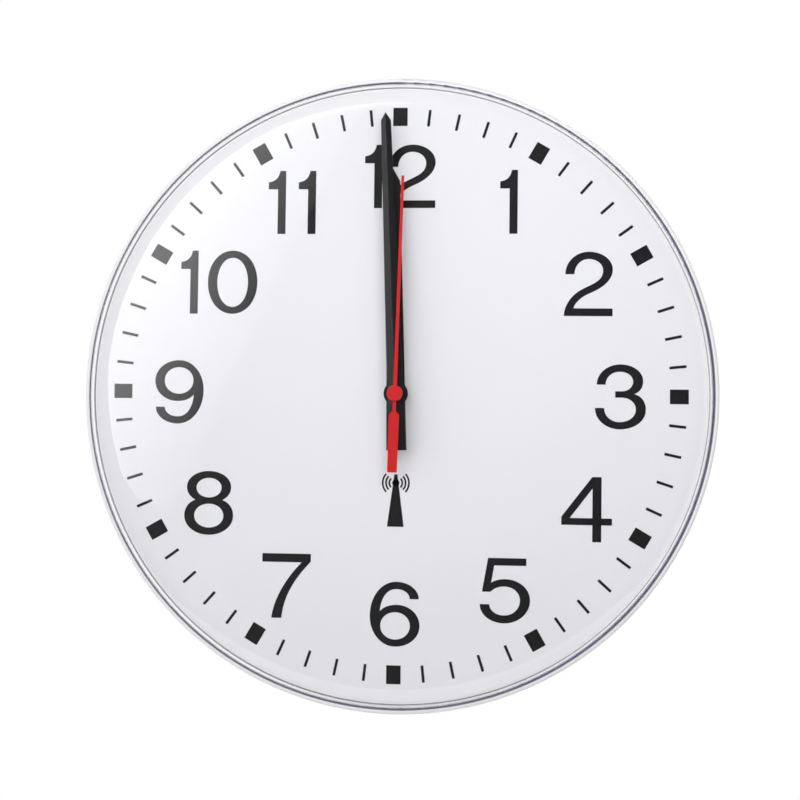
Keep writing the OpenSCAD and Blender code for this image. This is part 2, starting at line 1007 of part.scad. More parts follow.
module cover_screws() {
    color([0.75, 0.75, 0.77])
        post_places()
            pan_screw(box_back_z, screw_r, screw_head_r, screw_head_t, screw_l);
}

module train_bridge() {
    color([0.85, 0.82, 0.72])
        difference() {
            translate([0, 0, bridge_z])
                linear_extrude(bridge_t)
                    hull()
                        for (p = concat(bridge_posts, [rotor_at, third_at]))
                            translate(p)
                                circle(r = bridge_margin, $fn = hull_facets);
            for (p = bridge_posts)
                at(p, 0)
                    bore(bridge_pin_r + press, bridge_z, bridge_t);
            bore(bridge_hole_r, bridge_z, bridge_t);
            for (p = [third_at, intermediate_at])
                at(p, 0)
                    bore(staff_r + run, bridge_z, bridge_t);
            at(rotor_at, 0)
                bore(rotor_staff_r + run, bridge_z, bridge_t);
            at(sensor_at, 0)
                bore(bridge_window_r, bridge_z, bridge_t);
        }
}

// Wheel train
module rotor() {
    top_z = bridge_z + bridge_t - end_play;
    color([0.35, 0.35, 0.38])
        at(rotor_at, 0) {
            disc(magnet_r, rotor_z, rotor_t);
            disc(rotor_hub_r, rotor_z + rotor_t - end_play, rotor_hub_t + end_play);
            pinion(leaf_count, rotor_module, intermediate_z - rotor_hub_t / 2 - end_play,
                wheel_t + rotor_hub_t, 0);
            disc(rotor_staff_r, rotor_arbor_back_z, top_z - rotor_arbor_back_z);
        }
}

module intermediate_wheel() {
    top_z = bridge_z + bridge_t - end_play;
    pinion_z = intermediate_z + wheel_t - end_play;
    pinion_top_z = seconds_z + wheel_t + pinion_over;
    color([0.93, 0.93, 0.9])
        at(intermediate_at, 0) {
            difference() {
                wheel(intermediate_teeth, rotor_module, intermediate_z, intermediate_angle);
                holes(intermediate_holes, intermediate_z);
            }
            pinion(leaf_count, seconds_module, pinion_z, pinion_top_z - pinion_z, 0);
            disc(staff_r, arbor_back_z, top_z - arbor_back_z);
        }
}

// Hole through which the light sensor sees where a hand stands
module sensor_hole(hand_angle, z) {
    rotate(-hand_angle)
        at(polar(sensor_r, sensor_dir), 0)
            bore(sensor_hole_r, z, wheel_t);
}

module seconds_wheel() {
    pinion_z = seconds_z + wheel_t - end_play;
    back_z = arbor_back_z + 2 * end_play;
    color([0.8, 0.35, 0.3]) {
        difference() {
            wheel(seconds_teeth, seconds_module, seconds_z, seconds_wheel_angle);
            sensor_hole(second_angle, seconds_z);
            holes(seconds_holes, seconds_z, sensor_dir + 90);
        }
        pinion(leaf_count, third_module, pinion_z, third_z + wheel_t + end_play - pinion_z, 0);
        disc(staff_r, back_z, second_hand_z + second_t - back_z);
    }
}

module third_wheel() {
    rear_z = bridge_z + end_play;
    pinion_z = third_z + wheel_t - end_play;
    pinion_top_z = centre_z + wheel_t + pinion_over;
    to_sensor = sensor_at - third_at;
    color([0.93, 0.93, 0.9])
        at(third_at, 0) {
            difference() {
                wheel(third_teeth, third_module, third_z, third_angle);
                holes([third_sensor_holes, dist(to_sensor), third_sensor_hole_r], third_z,
                    atan2(to_sensor[1], to_sensor[0]));
            }
            pinion(leaf_count, centre_module, pinion_z, pinion_top_z - pinion_z, 0);
            disc(staff_r, rear_z, box_inner_z + blind_depth - end_play - rear_z);
        }
}

module centre_wheel() {
    back_z = centre_z - 2 * end_play;
    front_z = minute_hand_z + centre_tube_reach;
    color([0.86, 0.84, 0.76])
        difference() {
            union() {
                difference() {
                    wheel(centre_teeth, centre_module, centre_z, centre_angle);
                    sensor_hole(minute_angle, centre_z);
                    holes(centre_holes, centre_z, sensor_dir + 180 / centre_holes[0]);
                }
                pinion(cannon_leaves, motion_module, centre_z + wheel_t - end_play, cannon_l, 0);
                disc(centre_tube_r, back_z, front_z - back_z);
            }
            bore(staff_r + run, back_z, front_z - back_z);
        }
}

module minute_wheel() {
    pinion_z = minute_z + wheel_t - end_play;
    front_z = hour_z + wheel_t + 0.3;
    color([0.93, 0.93, 0.9])
        at(minute_at, 0)
            difference() {
                union() {
                    difference() {
                        wheel(minute_teeth, motion_module, minute_z, minute_wheel_angle);
                        holes(minute_holes, minute_z);
                    }
                    pinion(leaf_count, motion_module, pinion_z, front_z - pinion_z, 0);
                }
                bore(stud_r + run, minute_z, front_z - minute_z);
            }
}

module hour_wheel() {
    tube_top_z = hour_hand_z + hour_tube_reach;
    color([0.86, 0.84, 0.76])
        difference() {
            union() {
                difference() {
                    wheel(hour_teeth, motion_module, hour_z, hour_wheel_angle);
                    sensor_hole(hour_angle, hour_z);
                    holes(hour_holes, hour_z, sensor_dir + 90);
                }
                disc(hour_tube_r, hour_z, tube_top_z - hour_z);
            }
            bore(centre_tube_r + run, hour_z, tube_top_z - hour_z);
        }
}

// Motor
module bar(from, to, w) {
    along = to - from;
    translate(from)
        rotate(atan2(along[1], along[0]))
            translate([0, -w / 2])
                square([dist(along), w]);
}

module stator() {
    elbow_x = coil_x + coil_flange_r + stator_pad_r + stator_gap;
    leg_y = coil_l / 2 + stator_pad_r + stator_gap;
    color([0.6, 0.61, 0.63])
        difference() {
            translate([0, 0, stator_z])
                linear_extrude(lamination_t) {
                    for (y = [coil_mid_y - leg_y, coil_mid_y + leg_y]) {
                        bar([coil_x, y], [elbow_x, y], stator_leg_w);
                        bar([elbow_x, y], rotor_at, stator_leg_w);
                        for (x = [coil_x, elbow_x])
                            translate([x, y])
                                circle(r = stator_pad_r);
                    }
                    translate(rotor_at)
                        circle(r = stator_ring_r);
                }
            at(rotor_at, 0) {
                bore(stator_hole_r, stator_z, lamination_t);
                for (a = [stator_notch_dir, stator_notch_dir + 180])
                    at(polar(stator_hole_r, a), 0)
                        bore(stator_notch_r, stator_z, lamination_t);
            }
        }
}

module coil_core() {
    color([0.55, 0.56, 0.58])
        translate([coil_x, coil_mid_y, 0])
            block(core_w, core_l, core_z, lamination_t);
}

module along_y(z) {
    translate([coil_x, coil_mid_y, z])
        rotate([90, 0, 0])
            children();
}

module coil_bobbin() {
    core_mid_z = core_z + lamination_t / 2;
    color([0.2, 0.3, 0.24])
        difference() {
            along_y(core_mid_z) {
                translate([0, 0, -coil_l / 2])
                    cylinder(r = coil_tube_r, h = coil_l);
                translate([0, 0, -coil_l / 2])
                    cylinder(r = coil_flange_r, h = coil_flange_t);
                translate([0, 0, coil_l / 2 - coil_flange_t])
                    cylinder(r = coil_flange_r, h = coil_flange_t);
            }
            translate([coil_x, coil_mid_y, 0])
                block(core_w, core_l, core_z, lamination_t);
        }
}

module coil_winding() {
    l = coil_l - 2 * coil_flange_t;
    color([0.72, 0.4, 0.2])
        along_y(core_z + lamination_t / 2)
            difference() {
                translate([0, 0, -l / 2])
                    cylinder(r = coil_r, h = l);
                translate([0, 0, -l / 2 - overlap])
                    cylinder(r = coil_tube_r, h = l + 2 * overlap);
            }
}

// Aerial
module along_x(y, z, l) {
    translate([-l / 2, y, z])
        rotate([0, 90, 0])
            children();
}

module aerial_rod() {
    color([0.25, 0.24, 0.24])
        along_x(aerial_y, aerial_z, aerial_l)
            cylinder(r = aerial_r, h = aerial_l);
}

module aerial_coil() {
    color([0.72, 0.4, 0.2])
        along_x(aerial_y, aerial_z, aerial_coil_l)
            difference() {
                cylinder(r = aerial_coil_r, h = aerial_coil_l);
                translate([0, 0, -overlap])
                    cylinder(r = aerial_r, h = aerial_coil_l + 2 * overlap);
            }
}

// Circuit board and what it carries
module circuit_board() {
    color([0.1, 0.35, 0.2])
        translate([board_left_x, board_bottom_y, board_z])
            cube([board_right_x - board_left_x, board_top_y - board_bottom_y, board_t]);
}

// The chip lies under a round drop of resin
module clock_chip() {
    dome_r = (chip_r * chip_r + chip_t * chip_t) / (2 * chip_t);
    color([0.08, 0.08, 0.08])
        at(chip_at, board_z + board_t)
            intersection() {
                cylinder(r = dome_r, h = dome_r);
                translate([0, 0, chip_t - dome_r])
                    sphere(r = dome_r);
            }
}

module quartz_crystals() {
    color([0.78, 0.78, 0.8])
        for (x = crystal_xs)
            translate([x, crystal_y, board_z + board_t + crystal_r])
                rotate([-90, 0, 0])
                    cylinder(r = crystal_r, h = crystal_l);
}

module position_sensor() {
    color([0.9, 0.9, 0.85])
        at(sensor_at, 0) {
            block(emitter_w, emitter_w, board_z + board_t, emitter_t);
            block(receiver_w, receiver_w, box_inner_z + receiver_gap, receiver_t);
        }
}

module push_switches() {
    color([0.7, 0.7, 0.72])
        for (y = button_ys)
            at([button_x, y], 0) {
                block(switch_w, switch_w, board_z - switch_t, switch_t);
                disc(plunger_r, plunger_z, board_z - plunger_z);
            }
}

module push_button(y) {
    color([0.88, 0.88, 0.88])
        at([button_x, y], button_inner_z) {
            rotate([180, 0, 0])
                rotate_extrude()
                    rounded_section(button_r, button_inner_z - box_back_z + button_proud, button_round_r);
            disc(button_flange_r, -button_flange_t, button_flange_t);
        }
}

module reset_button() {
    push_button(button_ys[0]);
}

module wave_button() {
    push_button(button_ys[1]);
}

module set_button() {
    push_button(button_ys[2]);
}

// Battery and its contacts
module battery() {
    color([0.25, 0.3, 0.4])
        translate([cell_left_x, cell_y, cell_z])
            rotate([0, 90, 0])
                rotate_extrude() {
                    rounded_section(cell_r, cell_l, cell_round_r);
                    rounded_section(cell_nub_r, cell_l + cell_nub_l, cell_nub_round_r);
                }
}

module positive_contact() {
    touch_x = cell_left_x + cell_l + cell_nub_l;
    color([0.8, 0.8, 0.82]) {
        translate([bay_end_x - contact_t, cell_y - contact_w / 2, contact_foot_z])
            cube([contact_t, contact_w, contact_h]);
        translate([touch_x, cell_y, cell_z])
            rotate([0, 90, 0])
                cylinder(r = contact_button_r, h = bay_end_x - touch_x);
    }
}

module negative_contact() {
    wall_x = -bay_end_x;
    tip_x = cell_left_x - spring_tip_back;
    color([0.8, 0.8, 0.82])
        translate([0, cell_y + contact_w / 2, 0])
            rotate([90, 0, 0])
                linear_extrude(contact_w)
                    polygon([
                        [wall_x, contact_foot_z],
                        [wall_x + contact_t, contact_foot_z],
                        [wall_x + contact_t, cell_z + spring_bend],
                        [cell_left_x - contact_t, cell_z + spring_flat],
                        [cell_left_x - contact_t, cell_z - spring_flat],
                        [tip_x - contact_t, cell_z - spring_tip],
                        [tip_x, cell_z - spring_tip],
                        [cell_left_x, cell_z - spring_flat],
                        [cell_left_x, cell_z + spring_flat],
                        [wall_x + contact_t, cell_z + spring_top],
                        [wall_x, cell_z + spring_top]
                    ]);
}

upright() case();
upright() hanger_plate();
upright() hanger_screws();
upright() front_cover();
upright() dial();
upright() dial_marks();
upright() hour_hand();
upright() minute_hand();
upright() second_hand();
upright() second_hand_cap();
upright() dial_washer();
upright() hex_nut();
upright() rubber_washer();
upright() movement_housing();
upright() movement_rear_cover();
upright() cover_screws();
upright() train_bridge();
upright() rotor();
upright() intermediate_wheel();
upright() seconds_wheel();
upright() third_wheel();
upright() centre_wheel();
upright() minute_wheel();
upright() hour_wheel();
upright() stator();
upright() coil_core();
upright() coil_bobbin();
upright() coil_winding();
upright() aerial_rod();
upright() aerial_coil();
upright() circuit_board();
upright() clock_chip();
upright() quartz_crystals();
upright() position_sensor();
upright() push_switches();
upright() reset_button();
upright() wave_button();
upright() set_button();
upright() battery();
upright() positive_contact();
upright() negative_contact();
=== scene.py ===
import json
import math

import bpy
from mathutils import Matrix, Vector
from mathutils.geometry import tessellate_polygon


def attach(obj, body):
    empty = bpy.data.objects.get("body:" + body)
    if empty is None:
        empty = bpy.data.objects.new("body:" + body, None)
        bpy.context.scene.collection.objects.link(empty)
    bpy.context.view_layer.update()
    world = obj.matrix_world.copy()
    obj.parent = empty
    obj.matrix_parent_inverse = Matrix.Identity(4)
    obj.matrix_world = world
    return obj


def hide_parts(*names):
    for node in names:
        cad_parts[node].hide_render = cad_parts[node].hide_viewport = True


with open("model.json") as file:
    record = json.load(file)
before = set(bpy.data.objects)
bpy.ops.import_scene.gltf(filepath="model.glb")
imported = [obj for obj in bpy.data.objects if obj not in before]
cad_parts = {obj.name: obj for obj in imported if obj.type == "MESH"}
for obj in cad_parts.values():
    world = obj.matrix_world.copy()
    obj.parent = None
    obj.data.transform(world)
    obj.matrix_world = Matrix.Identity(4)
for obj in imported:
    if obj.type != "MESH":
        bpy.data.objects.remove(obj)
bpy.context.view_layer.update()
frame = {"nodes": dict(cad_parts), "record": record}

# In millimetres: height of the hanging point over the hands, front of the dial, and thickness of its ink
HANG_Y = 114.0
DIAL_Z = 25.6
PRINT_T = 0.1


def place(x, y, z):
    """A point given in millimetres about the axis of the hands, z forward from the wall."""
    return Vector((x, -z, y - HANG_Y)) / 1000


# Camera, fitted to the marks on the dial. Lens and sensor are in millimetres, its place is in metres.
LENS, SENSOR_W = 72.0, 36.0
NEAREST = 0.01
CAMERA_AT = (0.06484, -0.77765, -0.13129)
CAMERA_RIGHT = (0.9956662, 0.0920712, 0.0131043)
CAMERA_UP = (-0.0092185, -0.0425035, 0.9990538)
CAMERA_BACK = (0.0925411, -0.9948449, -0.0414705)
CAMERA_SHIFT = (0.01671, -0.04501)

scene = bpy.context.scene
camera_data = bpy.data.cameras.new("camera")
camera_data.lens = LENS
camera_data.sensor_width = SENSOR_W
camera_data.shift_x, camera_data.shift_y = CAMERA_SHIFT
camera_data.clip_start = NEAREST
camera = bpy.data.objects.new("camera", camera_data)
scene.collection.objects.link(camera)
turn = Matrix((CAMERA_RIGHT, CAMERA_UP, CAMERA_BACK)).transposed()
camera.matrix_world = Matrix.Translation(CAMERA_AT) @ turn.to_4x4()
scene.camera = camera
scene.view_settings.view_transform = "Standard"


def adder(tree):
    """A way to add nodes to a tree, with their inputs and settings given by name."""

    def add(kind, **values):
        node = tree.nodes.new(kind)
        for key, value in values.items():
            if key in node.inputs:
                node.inputs[key].default_value = value
            else:
                setattr(node, key, value)
        return node

    return add


class Nodes:
    """A material's node tree, with short ways to add to it."""

    def __init__(self, name):
        self.name = name
        self.material = bpy.data.materials.new(name)
        self.material.use_nodes = True
        self.tree = self.material.node_tree
        self.tree.nodes.clear()
        self.output = self.add("ShaderNodeOutputMaterial")
        self.shader = self.add("ShaderNodeBsdfPrincipled")
        self.link(self.shader, "BSDF", self.output, "Surface")
        self.coordinates = self.add("ShaderNodeTexCoord")

    def add(self, kind, **values):
        return adder(self.tree)(kind, **values)

    def link(self, a, out, b, into):
        self.tree.links.new(a.outputs[out], b.inputs[into])

    def noise(self, scale, detail=2.0, rough=0.5, stretch=(1, 1, 1)):
        mapping = self.add("ShaderNodeMapping", Scale=stretch)
        self.link(self.coordinates, "Object", mapping, "Vector")
        node = self.add("ShaderNodeTexNoise", Scale=scale, Detail=detail, Roughness=rough)
        self.link(mapping, "Vector", node, "Vector")
        return node

    def between(self, source, out, low, high, start=0.3, end=0.7):
        """A value that goes from low to high while the source goes from start to end."""
        node = self.add("ShaderNodeMapRange")
        for key, value in (("From Min", start), ("From Max", end), ("To Min", low), ("To Max", high)):
            node.inputs[key].default_value = value
        self.link(source, out, node, "Value")
        return node

    def maths(self, operation, *operands):
        """Arithmetic on numbers and on outputs, each given as a node and its output's name."""
        node = self.add("ShaderNodeMath", operation=operation)
        for i, operand in enumerate(operands):
            if isinstance(operand, tuple):
                self.link(*operand, node, i)
            else:
                node.inputs[i].default_value = operand
        return node

    def split(self):
        node = self.add("ShaderNodeSeparateXYZ")
        self.link(self.coordinates, "Object", node, "Vector")
        return node

    def length(self, a, out_a, b, out_b):
        """Length of the flat vector whose two parts are given."""
        flat = self.add("ShaderNodeCombineXYZ")
        self.link(a, out_a, flat, "X")
        self.link(b, out_b, flat, "Y")
        node = self.add("ShaderNodeVectorMath", operation="LENGTH")
        self.link(flat, "Vector", node, 0)
        return node

    def tint(self, source, out, dark, pale):
        """A colour between dark and pale."""
        node = self.add("ShaderNodeMix", data_type="RGBA")
        node.inputs["A"].default_value = (*dark, 1)
        node.inputs["B"].default_value = (*pale, 1)
        self.link(source, out, node, "Factor")
        return node

    def relief(self, source, out, strength, distance):
        node = self.add("ShaderNodeBump", Strength=strength, Distance=distance)
        self.link(source, out, node, "Height")
        self.link(node, "Normal", self.shader, "Normal")

    def share_with(self, other, other_out, share, share_out):
        """Let another shader take a share of the surface."""
        node = self.add("ShaderNodeMixShader")
        self.link(share, share_out, node, "Fac")
        self.link(self.shader, "BSDF", node, 1)
        self.link(other, other_out, node, 2)
        self.link(node, "Shader", self.output, "Surface")


# Materials. Patch and grain are scales of noise per metre, and depth is in metres.
def finish_of(name, dark, pale, rough, patch=60.0, grain=2500.0, depth=0.00002, strength=0.3,
              stretch=(1, 1, 1), **sockets):
    """A surface whose colour drifts from dark to pale, whose gloss varies and whose grain is in relief."""
    n = Nodes(name)
    n.link(n.tint(n.noise(patch, 3.0), "Fac", dark, pale), "Result", n.shader, "Base Color")
    fine = n.noise(grain, 2.0, 0.6, stretch)
    n.link(n.between(fine, "Fac", *rough), "Result", n.shader, "Roughness")
    n.relief(fine, "Fac", strength, depth)
    for key, value in sockets.items():
        n.shader.inputs[key.replace("_", " ")].default_value = value
    return n


CLEAR_IOR = 1.49
CLEAR_ROUGH = (0.004, 0.02)
CLEAR_PATCH, CLEAR_WAVE = 180.0, 22.0
CLEAR_RELIEF, CLEAR_DEPTH = 0.04, 0.0004
# The foot's violet colour is partly the plastic's own lavender tint and partly painted shade of the groove
# behind it
FOOT_TINT_AND_SHADE_FROM, FOOT_TINT_AND_SHADE_FULL = 26.0, 24.0
DOME_TINT, FOOT_TINT_AND_SHADE = (0.985, 0.985, 0.99), (0.62, 0.59, 0.72)
DOME_LIGHT, FOOT_LIGHT = (0.95, 0.95, 0.96), (0.15, 0.14, 0.20)


def clear_plastic():
    """Clear, polished plastic with slightly wavy faces, which light from the lamps crosses unbent.
    Around the height of its shoulder it turns violet, partly its own lavender tint and partly painted shade
    of the dark groove seen through it, and from there to its foot passes less light."""
    n = Nodes("clear_plastic")
    s = n.shader
    s.inputs["Transmission Weight"].default_value = 1
    s.inputs["IOR"].default_value = CLEAR_IOR
    n.link(n.between(n.noise(CLEAR_PATCH, 3.0), "Fac", *CLEAR_ROUGH), "Result", s, "Roughness")
    n.relief(n.noise(CLEAR_WAVE, 1.0), "Fac", CLEAR_RELIEF, CLEAR_DEPTH)
    foot = n.between(n.split(), "Y", 0, 1, -FOOT_TINT_AND_SHADE_FROM / 1000, -FOOT_TINT_AND_SHADE_FULL / 1000)
    # Painted shade: the foot's colour turns a darker violet, standing in for the shaded groove seen through
    # it
    n.link(n.tint(foot, "Result", DOME_TINT, FOOT_TINT_AND_SHADE), "Result", s, "Base Color")
    passing = n.add("ShaderNodeBsdfTransparent")
    n.link(n.tint(foot, "Result", DOME_LIGHT, FOOT_LIGHT), "Result", passing, "Color")
    n.share_with(passing, "BSDF", n.add("ShaderNodeLightPath"), "Is Shadow Ray")
    return n


finishes = {n.name: n for n in (
    finish_of("white_plastic", (0.88, 0.88, 0.89), (0.91, 0.91, 0.915), (0.3, 0.4),
              patch=25.0, grain=900.0, depth=0.000004, strength=0.2),
    clear_plastic(),
    finish_of("dial_sheet", (0.88, 0.88, 0.895), (0.9, 0.9, 0.915), (0.5, 0.62),
              patch=18.0, grain=3500.0, depth=0.00001, strength=0.2),
    finish_of("black_print", (0.005, 0.005, 0.006), (0.009, 0.009, 0.010), (0.42, 0.55),
              patch=90.0, grain=3000.0, depth=0.00001, strength=0.2),
    finish_of("black_hand", (0.008, 0.008, 0.009), (0.014, 0.014, 0.015), (0.3, 0.42),
              patch=80.0, grain=2600.0, depth=0.00002, strength=0.25),
    finish_of("red_hand", (0.60, 0.010, 0.013), (0.68, 0.016, 0.019), (0.28, 0.4),
              patch=80.0, grain=2600.0, depth=0.00002, strength=0.2),
    finish_of("brass", (0.66, 0.46, 0.18), (0.76, 0.56, 0.25), (0.2, 0.38), Metallic=1.0,
              patch=120.0, grain=900.0, depth=0.00002, stretch=(1, 1, 9)),
    finish_of("black_rubber", (0.018, 0.018, 0.018), (0.03, 0.03, 0.03), (0.65, 0.85)),
    finish_of("black_plastic", (0.017, 0.017, 0.019), (0.026, 0.026, 0.028), (0.38, 0.55),
              patch=40.0, grain=1500.0, depth=0.00005, strength=0.5),
    finish_of("steel", (0.50, 0.50, 0.52), (0.64, 0.64, 0.66), (0.22, 0.4), Metallic=1.0,
              patch=90.0, grain=700.0, depth=0.00002, stretch=(12, 1, 1)),
    finish_of("natural_plastic", (0.78, 0.76, 0.68), (0.84, 0.82, 0.75), (0.35, 0.5),
              Subsurface_Weight=0.2, Subsurface_Scale=0.001),
    finish_of("magnet", (0.16, 0.16, 0.17), (0.24, 0.24, 0.25), (0.35, 0.55), Metallic=0.8),
    finish_of("red_plastic", (0.48, 0.07, 0.05), (0.56, 0.10, 0.08), (0.35, 0.5)),
    finish_of("lamination_steel", (0.34, 0.35, 0.37), (0.46, 0.47, 0.49), (0.3, 0.5),
              Metallic=1.0, grain=500.0, stretch=(1, 1, 14)),
    finish_of("green_plastic", (0.05, 0.16, 0.10), (0.07, 0.2, 0.13), (0.4, 0.55)),
    finish_of("copper_wire", (0.50, 0.17, 0.06), (0.66, 0.27, 0.11), (0.22, 0.4), Metallic=0.9),
    finish_of("ferrite", (0.035, 0.033, 0.033), (0.06, 0.057, 0.056), (0.5, 0.75),
              grain=1200.0, depth=0.0001, strength=0.6),
    finish_of("board_green", (0.012, 0.11, 0.045), (0.02, 0.17, 0.07), (0.25, 0.4), patch=350.0),
    finish_of("grey_plastic", (0.52, 0.52, 0.53), (0.6, 0.6, 0.61), (0.35, 0.5)),
    finish_of("battery_sleeve", (0.035, 0.06, 0.13), (0.05, 0.08, 0.17), (0.2, 0.32), Metallic=0.4),
)}

# Painted shade: the groove around the cover's foot, and the side of the bead that faces the cover, are
# darkened to violet-grey where shade falls between cover and case.
# In millimetres, as in the cover's section below.
GROOVE_MID_R, GROOVE_HALF_W = 146.85, 1.2
GROOVE_FLOOR_Z = 20.0
GROOVE_PAINTED_SHADE = (0.22, 0.21, 0.29)
GROOVE_BLUR = 0.2


def paint_groove_shade(n):
    """Mix the groove's painted violet-grey shade into a finish, by the distance from the axis and from the
    wall.
    """
    base = n.shader.inputs["Base Color"].links[0].from_socket
    split = n.split()
    height = n.maths("ADD", (split, "Z"), HANG_Y / 1000)
    away = n.length(split, "X", height, "Value")
    off = n.maths("ABSOLUTE", (n.maths("SUBTRACT", (away, "Value"), GROOVE_MID_R / 1000), "Value"))
    within = n.between(off, "Value", 1, 0, GROOVE_HALF_W / 1000, (GROOVE_HALF_W + GROOVE_BLUR) / 1000)
    above = n.between(split, "Y", 1, 0, -GROOVE_FLOOR_Z / 1000, (GROOVE_BLUR - GROOVE_FLOOR_Z) / 1000)
    both = n.maths("MULTIPLY", (within, "Result"), (above, "Result"))
    # Painted shade: the white plastic's colour turns violet-grey in the groove and on the bead's inner side
    mix = n.tint(both, "Value", (0, 0, 0), GROOVE_PAINTED_SHADE)
    n.tree.links.new(base, mix.inputs["A"])
    n.link(mix, "Result", n.shader, "Base Color")


# The white plastic gets painted shade in the groove around the cover's foot
paint_groove_shade(finishes["white_plastic"])

slot_of = {s["node"]: s["material_slot"] for s in frame["record"]["subparts"]}
for node, obj in frame["nodes"].items():
    obj.data.materials.clear()
    obj.data.materials.append(finishes[slot_of[node]].material)


# Printed numbers and the transmitter's mast on the dial
QUARTER = 0.56
CURVE_STEPS = 10


def bend(a, b, vertical_first, k=QUARTER):
    """Handles of a quarter turn from a to b that leaves vertically or horizontally."""
    if vertical_first:
        return (a[0], a[1] + k * (b[1] - a[1])), (b[0] - k * (b[0] - a[0]), b[1])
    return (a[0] + k * (b[0] - a[0]), a[1]), (b[0], b[1] - k * (b[1] - a[1]))


def trace(start, *moves):
    """Points of a closed outline. A move is a point, and then nothing for a straight line, "v" or "h"
    for a quarter turn that leaves vertically or horizontally, or a curve's two handles."""
    points = [start]
    for move in moves:
        a, b = points[-1], tuple(move[:2])
        if len(move) == 2:
            points.append(b)
            continue
        if move[2] in ("v", "h"):
            c, d = bend(a, b, move[2] == "v", *move[3:])
        else:
            c, d = move[2], move[3]
        for i in range(1, CURVE_STEPS + 1):
            t = i / CURVE_STEPS
            u = 1 - t
            points.append(tuple(
                u ** 3 * a[j] + 3 * u * u * t * c[j] + 3 * u * t * t * d[j] + t ** 3 * b[j] for j in (0, 1)
            ))
    return points


def oval(x0, x1, y0, y1, k=QUARTER):
    x, y = (x0 + x1) / 2, (y0 + y1) / 2
    return trace((x0, y), (x, y1, "v", k), (x1, y, "h", k), (x, y0, "v", k), (x0, y, "h", k))


def turned(points, w, h):
    return [(w - x, h - y) for x, y in points]


SIX = [
    trace((23.0, 22.4), (12.3, 30.35, "v"), (0.0, 14.4, "h"), (11.9, 0.1, "v"), (23.5, 9.8, "h"),
          (12.7, 19.6, "v"), (4.7, 16.5, (9.3, 19.6), (6.6, 18.6)), (12.4, 26.95, (5.2, 23.1), (8.2, 26.95)),
          (18.75, 22.4, "h")),
    oval(5.0, 18.95, 3.4, 16.15),
]
DIGITS = {
    "0": [oval(0.0, 23.9, 0.1, 30.35, 0.575), oval(4.5, 19.4, 3.4, 26.95, 0.575)],
    "1": [trace((0, 21.5), (4.5, 21.5), (4.5, 0.1), (8.3, 0.1), (8.3, 30.3), (5.5, 30.3),
                (0, 24.85, (5.0, 27.2), (3.3, 25.2)))],
    "2": [trace((0.6, 19.75), (11.6, 30.35, "v"), (22.65, 21.9, "h"),
                (12.6, 11.1, (22.65, 17.0), (17.6, 13.2)), (4.5, 3.75, (8.2, 9.3), (5.2, 6.6)),
                (22.65, 3.75), (22.65, 0.15), (0, 0.15), (9.4, 13.2, (0.3, 5.6), (3.6, 10.4)),
                (18.15, 21.5, (14.6, 15.7), (18.15, 17.2)), (11.5, 26.95, "v"), (4.85, 19.75, "h"))],
    "3": [trace((0.75, 20.85), (11.8, 30.35, "v"), (22.2, 22.6, "h"),
                (18.1, 16.6, (22.2, 19.6), (20.6, 17.4)), (23.5, 9.2, (21.4, 15.7), (23.5, 13.2)),
                (11.5, 0.1, "v"), (0, 9.95, "h"), (4.25, 9.95),
                (11.3, 3.45, "v"), (18.9, 9.3, "h"), (12.6, 14.85, "v"), (9.3, 14.85), (9.3, 17.8),
                (12.4, 17.8), (17.55, 22.4, "h"), (11.4, 26.95, "v"), (4.85, 20.85, "h"))],
    "4": [trace((14.35, 0.15), (18.5, 0.15), (18.5, 8.0), (23.4, 8.0), (23.4, 11.2), (18.5, 11.2),
                (18.5, 30.35), (14.2, 30.35), (0, 11.8), (0, 8.0), (14.35, 8.0)),
          [(14.35, 25.0), (14.35, 11.2), (3.9, 11.2)]],
    "5": [trace((3.6, 30.35), (21.4, 30.35), (21.4, 26.9), (6.5, 26.9), (5.1, 18.75),
                (11.7, 20.6, (6.8, 20.0), (9.0, 20.6)), (23.3, 10.9, "h"), (11.2, 0.1, "v"),
                (-0.1, 8.8, "h"), (4.4, 8.8), (11.2, 3.75, "v"), (18.6, 10.8, "h"), (11.3, 17.2, "v"),
                (4.9, 14.6, (8.6, 17.2), (6.4, 16.3)), (0.85, 14.6))],
    "6": SIX,
    "7": [trace((0, 30.35), (23.1, 30.35), (23.1, 26.7), (9.45, 0.1, (14.4, 17.8), (10.1, 8.8)), (4.65, 0.1),
                (18.7, 26.35, (5.7, 8.6), (10.7, 18.0)), (0, 26.35))],
    "8": [trace((5.3, 16.65), (1.1, 22.8, (2.8, 17.8), (1.1, 20.0)), (11.7, 30.35, "v"), (22.4, 22.8, "h"),
                (18.2, 16.65, (22.4, 20.0), (20.7, 17.8)), (23.55, 9.2, (21.4, 15.6), (23.55, 12.9)),
                (11.75, 0.1, "v"), (0, 9.2, "h"), (5.3, 16.65, (0, 12.9), (2.1, 15.6)))[:-1],
          oval(5.7, 17.8, 17.8, 27.1), oval(4.75, 18.85, 3.55, 14.85)],
    "9": [turned(loop, 23.5, 30.45) for loop in SIX],
}

# Lower left corner of each number on the dial, and the places of its second digit
NUMBERS = {
    "1": (47.55, 75.8, ()), "2": (77.82, 37.15, ()), "3": (92.64, -15.5, ()), "4": (77.5, -68.05, ()),
    "5": (40.1, -106.45, ()), "6": (-11.5, -118.5, ()), "7": (-62.85, -106.35, ()), "8": (-100.8, -68.0, ()),
    "9": (-116.0, -15.4, ()), "10": (-104.4, 37.2, (13.05,)), "11": (-62.65, 75.5, (14.45,)),
    "12": (-16.6, 87.9, (10.95,)),
}


def add_object(name, mesh, finish):
    obj = bpy.data.objects.new(name, mesh)
    scene.collection.objects.link(obj)
    obj.data.materials.append(finish.material)
    return obj


def add_piece(name, mesh, slot):
    """A piece that rides on the clock's body, in the finish of a slot."""
    obj = add_object(name, mesh, finishes[slot])
    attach(obj, "clock")
    return obj


def turns_left(loop):
    """Whether a closed outline runs anticlockwise."""
    after = loop[1:] + loop[:1]
    return sum(a[0] * b[1] - b[0] * a[1] for a, b in zip(loop, after)) > 0


